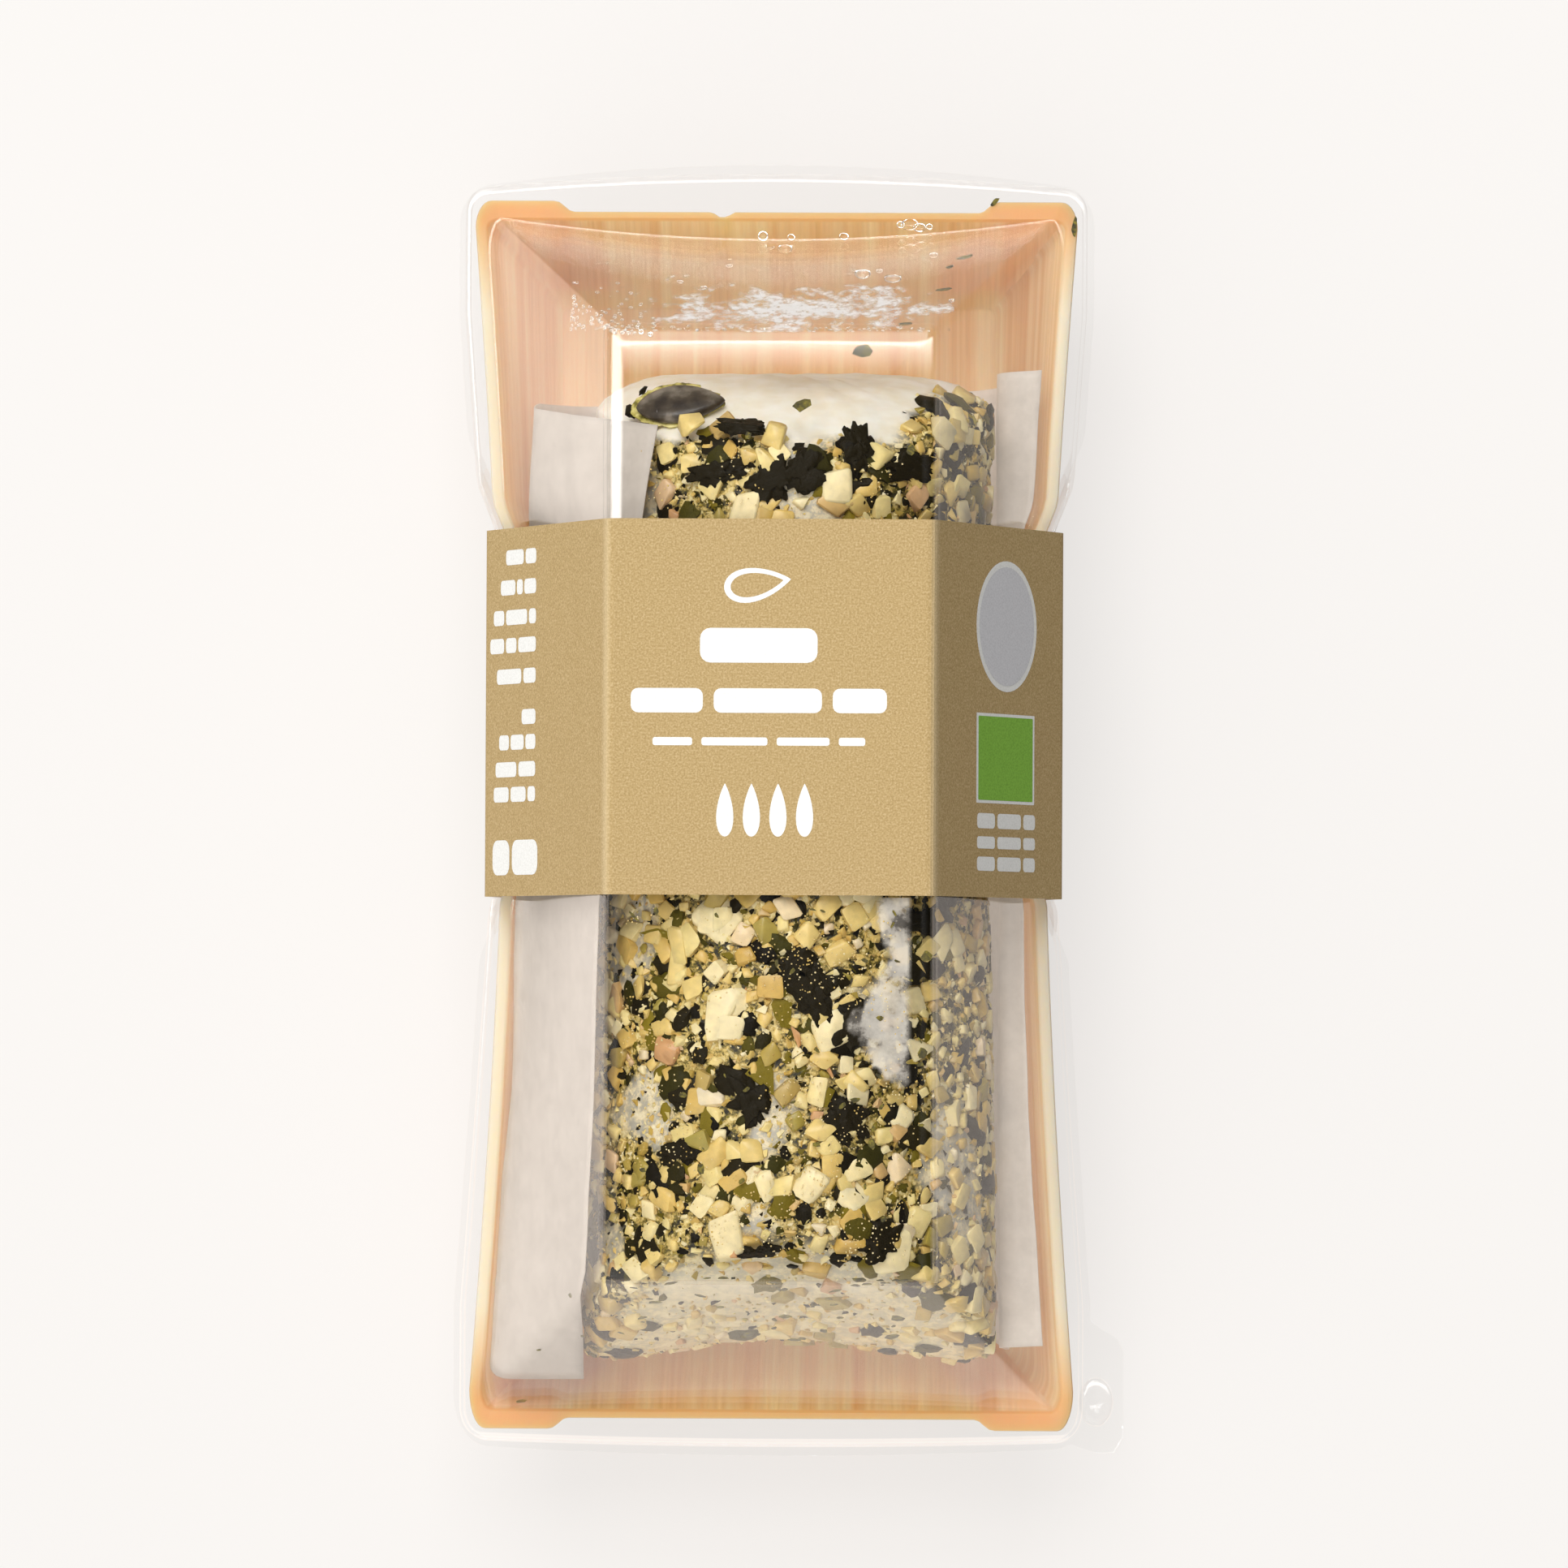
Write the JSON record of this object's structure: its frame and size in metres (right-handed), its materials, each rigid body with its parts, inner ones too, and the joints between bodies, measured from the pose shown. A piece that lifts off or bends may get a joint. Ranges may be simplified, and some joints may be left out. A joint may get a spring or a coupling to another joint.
{
  "type": "packed cheese log",
  "caption": "Log of soft cheese rolled in chopped seed, on paper in a veneer tray under a clear lid with sloping sides, held shut by a board sleeve.",
  "frame": {"origin": "on the surface that the pack lies on, below the middle of the lid's front panel", "axes": "+X to the pack's right, +Y towards its upper end, +Z out of its front, which faces up as it lies"},
  "size_m": [0.0676, 0.1304, 0.0448],
  "materials": {
    "veneer": "raw pale veneer",
    "greaseproof_paper": "smooth, slightly translucent",
    "cheese": "moist white cheese under chopped cream and dark green seed",
    "clear_film": "clear formed film",
    "printed_board": "uncoated kraft board, printed"
  },
  "bodies": {
    "root": {"tray": "veneer", "liner": "greaseproof_paper", "log": "cheese", "lid": "clear_film", "sleeve": "printed_board"}
  },
  "joints": []
}
